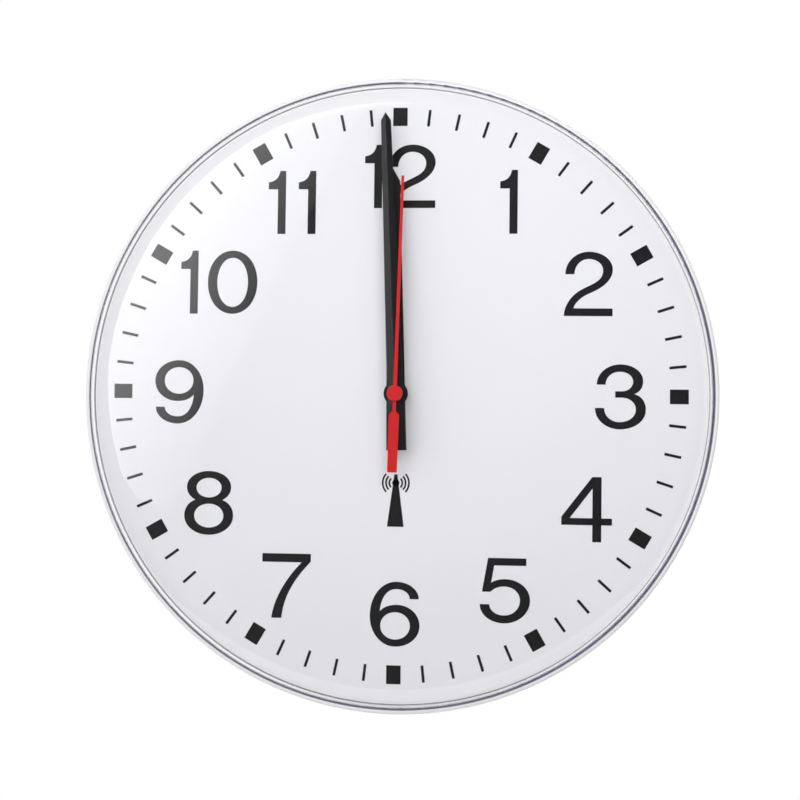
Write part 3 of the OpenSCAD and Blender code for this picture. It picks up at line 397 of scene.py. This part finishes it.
def solid_print(name, shapes):
    """Ink on the dial over flat outlines in millimetres: each shape is an outer loop, then its holes."""
    verts, faces = [], []
    for loops in shapes:
        loops = [list(dict.fromkeys((round(x, 5), round(y, 5)) for x, y in loop)) for loop in loops]
        base = len(verts)
        flat = [p for loop in loops for p in loop]
        for height in (DIAL_Z, DIAL_Z + PRINT_T):
            verts += [place(x, y, height) for x, y in flat]
        n = len(flat)
        for tri in tessellate_polygon([[Vector((x, y, 0)) for x, y in loop] for loop in loops]):
            front = tri if turns_left([flat[i] for i in tri]) else tri[::-1]
            faces.append([base + n + i for i in front])
            faces.append([base + i for i in front[::-1]])
        start = 0
        for k, loop in enumerate(loops):
            m = len(loop)
            outward = turns_left(loop) == (k == 0)
            for i in range(m):
                p, q = base + start + i, base + start + (i + 1) % m
                side = [p, q, q + n, p + n]
                faces.append(side if outward else side[::-1])
            start += m
    mesh = bpy.data.meshes.new(name)
    mesh.from_pydata(verts, [], faces)
    mesh.validate()
    add_piece(name, mesh, "black_print")


def moved(loops, dx, dy):
    return [[(x + dx, y + dy) for x, y in loop] for loop in loops]


for text, (x, y, gaps) in NUMBERS.items():
    starts = (0,) + gaps
    solid_print(f"number_{text}", [moved(DIGITS[d], x + s, y) for d, s in zip(text, starts)])

MAST_TOP_Y, MAST_FOOT_Y = -37.9, -62.45
MAST_TOP_W, MAST_FOOT_W = 1.4, 7.9
BALL_Y, BALL_R = -41.9, 1.7
WAVE_RADII = (3.05, 4.6, 6.2)
WAVE_W = 0.8
WAVE_HALF_ANGLE = 43
WAVE_STEPS = 16


def circle(cx, cy, r, count=40):
    return [(cx + r * math.cos(2 * math.pi * i / count), cy + r * math.sin(2 * math.pi * i / count))
            for i in range(count)]


def arc(cx, cy, r, start, end, steps):
    """Points of an arc between two angles in degrees."""
    angles = [math.radians(start + (end - start) * i / steps) for i in range(steps + 1)]
    return [(cx + r * math.cos(a), cy + r * math.sin(a)) for a in angles]


def wave(r, side):
    outer, inner = (
        [(x * side, y) for x, y in arc(0, BALL_Y, edge_r, -WAVE_HALF_ANGLE, WAVE_HALF_ANGLE, WAVE_STEPS)]
        for edge_r in (r + WAVE_W / 2, r - WAVE_W / 2)
    )
    return [outer + inner[::-1]]


solid_print("mast", [[[(-MAST_TOP_W / 2, MAST_TOP_Y), (-MAST_FOOT_W / 2, MAST_FOOT_Y),
                       (MAST_FOOT_W / 2, MAST_FOOT_Y), (MAST_TOP_W / 2, MAST_TOP_Y)]]])
solid_print("mast_ball", [[circle(0, BALL_Y, BALL_R)]])
solid_print("mast_waves", [wave(r, side) for r in WAVE_RADII for side in (-1, 1)])


# Clear cover, turned in fine steps so that it is smooth. It fills the space of the CAD's cover.
COVER_FOOT_R, COVER_FOOT_Z = 147.4, 20.2
COVER_SHOULDER_Z = 25.0
COVER_EDGE_R = 14.0
COVER_CROWN = 4.0
COVER_T = 1.5
COVER_ROUND_R = 0.3
WALL_STEPS, EDGE_STEPS, CROWN_STEPS, ROUND_STEPS = 4, 30, 40, 4
TURN_STEPS = 360
ON_AXIS = 1e-6


def cover_profile():
    """Radius and height of each point of the cover's section, from the axis round its foot to the axis."""
    edge_centre_r = COVER_FOOT_R - COVER_EDGE_R
    reach = (edge_centre_r ** 2 + COVER_CROWN ** 2) / (2 * COVER_CROWN)
    crown_r = reach + COVER_EDGE_R
    crown_z = COVER_SHOULDER_Z + COVER_EDGE_R + COVER_CROWN - crown_r
    lean = math.degrees(math.asin(edge_centre_r / reach))
    low_z = COVER_FOOT_Z + COVER_ROUND_R

    def skin(inset):
        wall = [(COVER_FOOT_R - inset, low_z + (COVER_SHOULDER_Z - low_z) * i / WALL_STEPS)
                for i in range(WALL_STEPS)]
        edge = arc(edge_centre_r, COVER_SHOULDER_Z, COVER_EDGE_R - inset, 0, 90 - lean, EDGE_STEPS)
        crown = arc(0, crown_z, crown_r - inset, 90 - lean, 90, CROWN_STEPS)[1:]
        return wall + edge + crown

    outer_mid = COVER_FOOT_R - COVER_ROUND_R
    inner_mid = COVER_FOOT_R - COVER_T + COVER_ROUND_R
    foot = (arc(inner_mid, low_z, COVER_ROUND_R, 180, 270, ROUND_STEPS)[1:]
            + arc(outer_mid, low_z, COVER_ROUND_R, -90, 0, ROUND_STEPS)[:-1])
    return skin(COVER_T)[::-1] + foot + skin(0)


def lathe(name, profile, slot):
    """A smooth piece turned about the axis of the hands. Its profile starts and ends on the axis."""
    verts, rings = [], []
    for r, z in profile:
        ring = [(0, 0)] if abs(r) < ON_AXIS else circle(0, 0, r, TURN_STEPS)
        rings.append(range(len(verts), len(verts) + len(ring)))
        verts += [place(x, y, z) for x, y in ring]
    faces = []
    for low, high in zip(rings, rings[1:]):
        for i in range(TURN_STEPS):
            j = (i + 1) % TURN_STEPS
            if len(low) == 1:
                faces.append((low[0], high[j], high[i]))
            elif len(high) == 1:
                faces.append((low[i], low[j], high[0]))
            else:
                faces.append((low[i], low[j], high[j], high[i]))
    mesh = bpy.data.meshes.new(name)
    mesh.from_pydata(verts, [], faces)
    mesh.polygons.foreach_set("use_smooth", [True] * len(faces))
    mesh.update()
    return add_piece(name, mesh, slot)


clear_cover = lathe("clear_cover", cover_profile(), "clear_plastic")
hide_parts("front_cover")


# Floor, world and lamps, in metres
WHITE = (1, 1, 1, 1)
FLOOR_COLOUR, FLOOR_ROUGH = (0.86, 0.86, 0.86, 1), 0.9
FLOOR_Z, FLOOR_R, FLOOR_SIDES = -0.9, 0.95, 96
FLOOR_NEAR, FLOOR_FAR = 0.45, 0.85
FLOOR_BEHIND = (0.0, 0.2)


def make_floor():
    """Pale and lit near the clock. Further out it is white like the background, as the camera sees it,
    and behind the clock also where it is mirrored."""
    mesh = bpy.data.meshes.new("floor")
    edge = [(x, y, FLOOR_Z) for x, y in circle(0, 0, FLOOR_R, FLOOR_SIDES)]
    mesh.from_pydata(edge, [], [tuple(range(len(edge)))])
    n = Nodes("floor")
    n.shader.inputs["Base Color"].default_value = FLOOR_COLOUR
    n.shader.inputs["Roughness"].default_value = FLOOR_ROUGH
    split = n.split()
    far = n.between(n.length(split, "X", split, "Y"), "Value", 0, 1, FLOOR_NEAR, FLOOR_FAR)
    behind = n.between(split, "Y", 0, 1, *FLOOR_BEHIND)
    path = n.add("ShaderNodeLightPath")
    mirrored = n.maths("MAXIMUM", (path, "Is Glossy Ray"), (path, "Is Transmission Ray"))
    there = n.maths("MULTIPLY", (mirrored, "Value"), (behind, "Result"))
    shown = n.maths("MAXIMUM", (path, "Is Camera Ray"), (there, "Value"))
    share = n.maths("MULTIPLY", (shown, "Value"), (far, "Result"))
    n.share_with(n.add("ShaderNodeEmission", Color=WHITE, Strength=1.0), "Emission", share, "Value")
    n.material.cycles.emission_sampling = "NONE"
    add_object("floor", mesh, n)


make_floor()

BACK_LEVEL = 1.0
FRONT_LEVEL = 0.15
FRONT_MIRRORED = 0.03
WORLD_BEHIND = (-0.25, 0.15)


def make_world():
    """White behind the clock, and dimmer in front of it, most of all where it is mirrored."""
    world = bpy.data.worlds.new("world")
    world.use_nodes = True
    world.cycles.sampling_method = "NONE"
    scene.world = world
    tree = world.node_tree
    tree.nodes.clear()
    add = adder(tree)

    def mix(factor, a, b):
        node = add("ShaderNodeMix", data_type="FLOAT")
        for socket, value in (("Factor", factor), ("A", a), ("B", b)):
            if isinstance(value, float):
                node.inputs[socket].default_value = value
            else:
                tree.links.new(value, node.inputs[socket])
        return node.outputs["Result"]

    path = add("ShaderNodeLightPath").outputs
    scattered = add("ShaderNodeMath", operation="GREATER_THAN")
    tree.links.new(path["Diffuse Depth"], scattered.inputs[0])
    split = add("ShaderNodeSeparateXYZ")
    tree.links.new(add("ShaderNodeTexCoord").outputs["Generated"], split.inputs["Vector"])
    behind = add("ShaderNodeMapRange")
    behind.inputs["From Min"].default_value, behind.inputs["From Max"].default_value = WORLD_BEHIND
    tree.links.new(split.outputs["Y"], behind.inputs["Value"])
    front = mix(scattered.outputs["Value"], FRONT_MIRRORED, FRONT_LEVEL)
    around = mix(behind.outputs["Result"], front, BACK_LEVEL)
    background = add("ShaderNodeBackground", Color=WHITE)
    tree.links.new(mix(path["Is Camera Ray"], around, 1.0), background.inputs["Strength"])
    output = add("ShaderNodeOutputWorld")
    tree.links.new(background.outputs["Background"], output.inputs["Surface"])


make_world()


def fade_across(light, edge, across, width, low):
    """Make a lamp's radiance rise from a low share at its edge to all of it, over a width."""
    light.use_nodes = True
    tree = light.node_tree
    tree.nodes.clear()
    add = adder(tree)
    offset = add("ShaderNodeVectorMath", operation="SUBTRACT")
    tree.links.new(add("ShaderNodeNewGeometry").outputs["Position"], offset.inputs[0])
    offset.inputs[1].default_value = edge
    along = add("ShaderNodeVectorMath", operation="DOT_PRODUCT")
    tree.links.new(offset.outputs["Vector"], along.inputs[0])
    along.inputs[1].default_value = across
    ramp = add("ShaderNodeMapRange")
    for key, value in (("From Min", 0.0), ("From Max", width), ("To Min", low)):
        ramp.inputs[key].default_value = value
    tree.links.new(along.outputs["Value"], ramp.inputs["Value"])
    emission = add("ShaderNodeEmission")
    tree.links.new(ramp.outputs["Result"], emission.inputs["Strength"])
    output = add("ShaderNodeOutputLight")
    tree.links.new(emission.outputs["Emission"], output.inputs["Surface"])


def lamp(name, at, towards, size, radiance, roll=0.0, mirrored=False, fade=None):
    """A rectangular lamp that faces a point. Either pieces mirror it, or it only lights them.
    A fade is the width of a soft border on the right, and the lowest share of the radiance there."""
    data = bpy.data.lights.new(name, "AREA")
    data.shape = "RECTANGLE"
    data.size, data.size_y = size
    # Power of a flat lamp that sends out this radiance on all sides of its face
    data.energy = radiance * math.pi * size[0] * size[1]
    obj = bpy.data.objects.new(name, data)
    scene.collection.objects.link(obj)
    aim = (Vector(towards) - Vector(at)).to_track_quat("-Z", "Y").to_matrix().to_4x4()
    obj.matrix_world = Matrix.Translation(at) @ aim @ Matrix.Rotation(roll, 4, "Z")
    obj.visible_camera = False
    obj.visible_glossy = mirrored
    obj.visible_transmission = mirrored
    obj.visible_diffuse = not mirrored
    data.cycles.use_multiple_importance_sampling = mirrored
    if fade:
        across = -obj.matrix_world.col[0].to_3d()
        fade_across(data, Vector(at) - across * size[0] / 2, across, *fade)


AXIS_AT = place(0, 0, 0)
SOFT_BOX_AT = Vector((-0.81, -1.8, AXIS_AT.z + 0.685))
lamp("soft_box", SOFT_BOX_AT, towards=SOFT_BOX_AT + Vector((0, 1, 0)), size=(1.0, 1.6), radiance=2.2,
     roll=math.radians(-24.6), mirrored=True, fade=(0.3, 0.1))
lamp("key", (-0.9, -0.9, AXIS_AT.z + 0.2), towards=AXIS_AT, size=(1.3, 1.3), radiance=1.4)
lamp("fill", (0.9, -1.1, AXIS_AT.z + 0.1), towards=AXIS_AT, size=(1.3, 1.3), radiance=0.25)
lamp("front", (0.06, -0.45, AXIS_AT.z + 0.13), towards=(0.06, 0, AXIS_AT.z + 0.13), size=(0.4, 0.4),
     radiance=2.45)
lamp("top", (0.1, -0.45, AXIS_AT.z + 0.55), towards=AXIS_AT, size=(0.8, 0.4), radiance=0.6)
